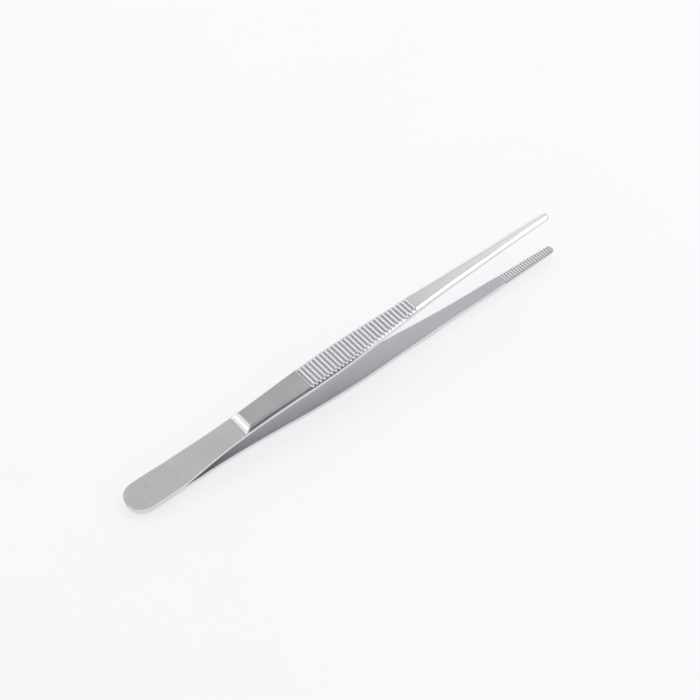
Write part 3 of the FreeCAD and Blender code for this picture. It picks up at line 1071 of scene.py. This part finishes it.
@dataclass(frozen=True)
class SoftPanel:
    """A lamp behind a diffuser, placed by direction and distance from the forceps."""

    name: str
    direction: tuple[float, float, float]
    distance_m: float
    width_m: float
    height_m: float
    radiance: float
    level: bool = False

    def build(self) -> bpy.types.Object:
        """Add the lamp, facing the forceps or hung level, with the power that gives its radiance.

        Returns:
            The lamp.
        """
        data = bpy.data.lights.new(self.name, "AREA")
        data.shape = "RECTANGLE"
        data.size, data.size_y = self.width_m, self.height_m
        data.energy = self.radiance * math.pi * self.width_m * self.height_m
        lamp = bpy.data.objects.new(self.name, data)
        bpy.context.scene.collection.objects.link(lamp)
        towards = Vector(self.direction).normalized()
        lamp.location = towards * self.distance_m
        if not self.level:
            lamp.rotation_euler = towards.to_track_quat("Z", "Y").to_euler()
        return lamp


@dataclass(frozen=True)
class GreyFlag:
    """A grey board beside or above the camera, which only the steel mirrors."""

    name: str
    direction: tuple[float, float, float]
    distance_m: float
    width_m: float
    height_m: float
    tone: str

    def build(self) -> bpy.types.Object:
        """Add the board, facing the forceps, and keep it out of the picture and off the table.

        Returns:
            The board.
        """
        towards = Vector(self.direction).normalized()
        bpy.ops.object.select_all(action="DESELECT")
        bpy.ops.mesh.primitive_plane_add(size=1.0)
        board = bpy.context.object
        board.name = self.name
        board.scale = (self.width_m, self.height_m, 1.0)
        board.rotation_euler = towards.to_track_quat("Z", "Y").to_euler()
        board.location = towards * self.distance_m
        board.visible_camera = False
        board.visible_diffuse = False
        board.visible_shadow = False
        board.data.materials.append(GreyPaint(self.tone).make())
        return board


@dataclass(frozen=True)
class Room:
    """Even light from the pale walls of the studio."""

    tone: str = "#FCFCFF"
    strength: float = 0.58

    def build(self) -> None:
        """Set the light that comes from all round."""
        world = bpy.data.worlds.new("studio")
        world.use_nodes = True
        tree = world.node_tree
        tree.nodes.clear()
        light = add_node(
            tree, "ShaderNodeBackground", {"Color": linear(self.tone), "Strength": self.strength}, {}
        )
        add_node(tree, "ShaderNodeOutputWorld", {}, {"Surface": light.outputs["Background"]})
        bpy.context.scene.world = world


@dataclass(frozen=True)
class Viewpoint:
    """The camera, placed by its turn, drop and roll around a point of the weld plane."""

    turn_deg: float = 24.958
    drop_deg: float = 46.673
    roll_deg: float = -14.26
    distance_m: float = 0.9499
    focal_px: float = 2490.89
    aim_mm: tuple[float, float, float] = (100.0, 0.0, 0.0)
    aim_px: tuple[float, float] = (344.267, 364.587)

    def build(self, placement: Matrix) -> bpy.types.Object:
        """Add the camera and make it the scene's own.

        Args:
            placement: Turns the frame of the weld into the frame of the part.

        Returns:
            The camera.
        """
        turn, drop, roll = (math.radians(a) for a in (self.turn_deg, self.drop_deg, self.roll_deg))
        right = Vector((math.cos(turn), -math.sin(turn), 0))
        level = math.cos(drop)
        ahead = Vector((math.sin(turn) * level, math.cos(turn) * level, -math.sin(drop)))
        up = right.cross(ahead)
        rolled_right = right * math.cos(roll) + up * math.sin(roll)
        rolled_up = up * math.cos(roll) - right * math.sin(roll)
        middle = (IMAGE_SIDE_PX - 1) / 2
        scale = self.distance_m / self.focal_px
        aside = (self.aim_px[0] - middle) * scale
        below = (self.aim_px[1] - middle) * scale
        place = Vector(self.aim_mm) * MM - ahead * self.distance_m
        place += rolled_up * below - rolled_right * aside
        axes = Matrix((rolled_right, rolled_up, -ahead)).transposed().to_4x4()
        data = bpy.data.cameras.new("camera")
        data.sensor_width = SENSOR_MM
        data.lens = self.focal_px / IMAGE_SIDE_PX * SENSOR_MM
        data.clip_start, data.clip_end = CAMERA_CLIP_M
        camera = bpy.data.objects.new("camera", data)
        bpy.context.scene.collection.objects.link(camera)
        camera.matrix_world = placement @ Matrix.Translation(place) @ axes
        bpy.context.scene.camera = camera
        return camera


def weld_placement(shape: ArmShape) -> Matrix:
    """Find how the frame of the weld stands in the frame of the part.

    Args:
        shape: Sizes of an arm, for the tilt and the tail's thickness.

    Returns:
        The matrix from the one frame to the other, in metres.
    """
    tilt = math.radians(shape.grip_deg)
    low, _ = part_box("upper_arm")
    rest = Vector((low.x + shape.tail_thickness * MM * math.sin(tilt), 0, low.z))
    return Matrix.Translation(rest) @ Matrix.Rotation(-tilt, 4, "Y")


# name, direction, distance, width, height and radiance of each lamp
PANELS = (
    SoftPanel("key_lamp", (-0.62, 0.6, 0.43), 1.2, 0.44, 0.34, 1.6),
    SoftPanel("back_left_lamp", (-0.32, 0.62, 0.72), 1.2, 0.42, 0.6, 0.8),
    SoftPanel("low_left_lamp", (-0.76, 0.62, 0.2), 1.2, 0.8, 0.44, 0.55),
    SoftPanel("high_back_lamp", (0.52, 0.58, 1.1), 1.35, 0.2, 0.94, 1.12, level=True),
    SoftPanel("high_front_lamp", (0.56, -0.495, 1.1), 1.33, 0.64, 1.11, 1.45, level=True),
    SoftPanel("front_fill_lamp", (0.5, -1.35, 1.1), 1.81, 0.34, 0.6, 1.2, level=True),
    SoftPanel("front_right_lamp", (0.43, -0.81, 0.41), 1.2, 0.4, 0.6, 1.15),
    SoftPanel("back_right_lamp", (0.6, 0.72, 0.34), 1.2, 1.0, 0.84, 0.64),
)
# name, direction, distance, width, height and tone of each board
FLAGS = (
    GreyFlag("front_flag", (0.03, -0.9, 0.43), 0.9, 0.55, 0.44, "#737477"),
    GreyFlag("high_flag", (0.0, -0.15, 1.0), 1.0, 0.34, 0.9, "#8A8B8D"),
)


def main() -> None:
    """Build the forceps and the studio around them, and report each piece."""
    logging.basicConfig(level=logging.INFO, format="%(name)s: %(message)s")
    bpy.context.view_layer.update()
    shape = ArmShape()
    placement = weld_placement(shape)
    finishes = {
        Region.FACE: SatinSteel().make(),
        Region.BEVEL: PolishedEdgeAndSheen().make(),
        Region.CUT: MilledGrooveAndShade().make(),
        Region.TAIL: GroundTail().make(),
        Region.INNER: BlastedInsideAndRibShade().make(),
    }
    arms = (
        Arm("upper_blade", "upper_arm", turned_over=False, tooth_shift=0.0, placement=placement, shape=shape),
        Arm("lower_blade", "lower_arm", turned_over=True, tooth_shift=0.5, placement=placement, shape=shape),
    )
    for arm in arms:
        blade = arm.build(finishes)
        log.info("%s: blade with %d faces", blade.name, len(blade.data.polygons))
    table = Table().build()
    log.info("%s: board under the forceps", table.name)
    Room().build()
    log.info("room: even light")
    for panel in PANELS:
        log.info("%s: soft lamp", panel.build().name)
    for flag in FLAGS:
        log.info("%s: grey board", flag.build().name)
    camera = Viewpoint().build(placement)
    log.info("%s: %.1f mm lens", camera.name, camera.data.lens)
    bpy.context.scene.view_settings.view_transform = "Standard"
    log.info("boxes written")


if __name__ == "__main__":
    main()
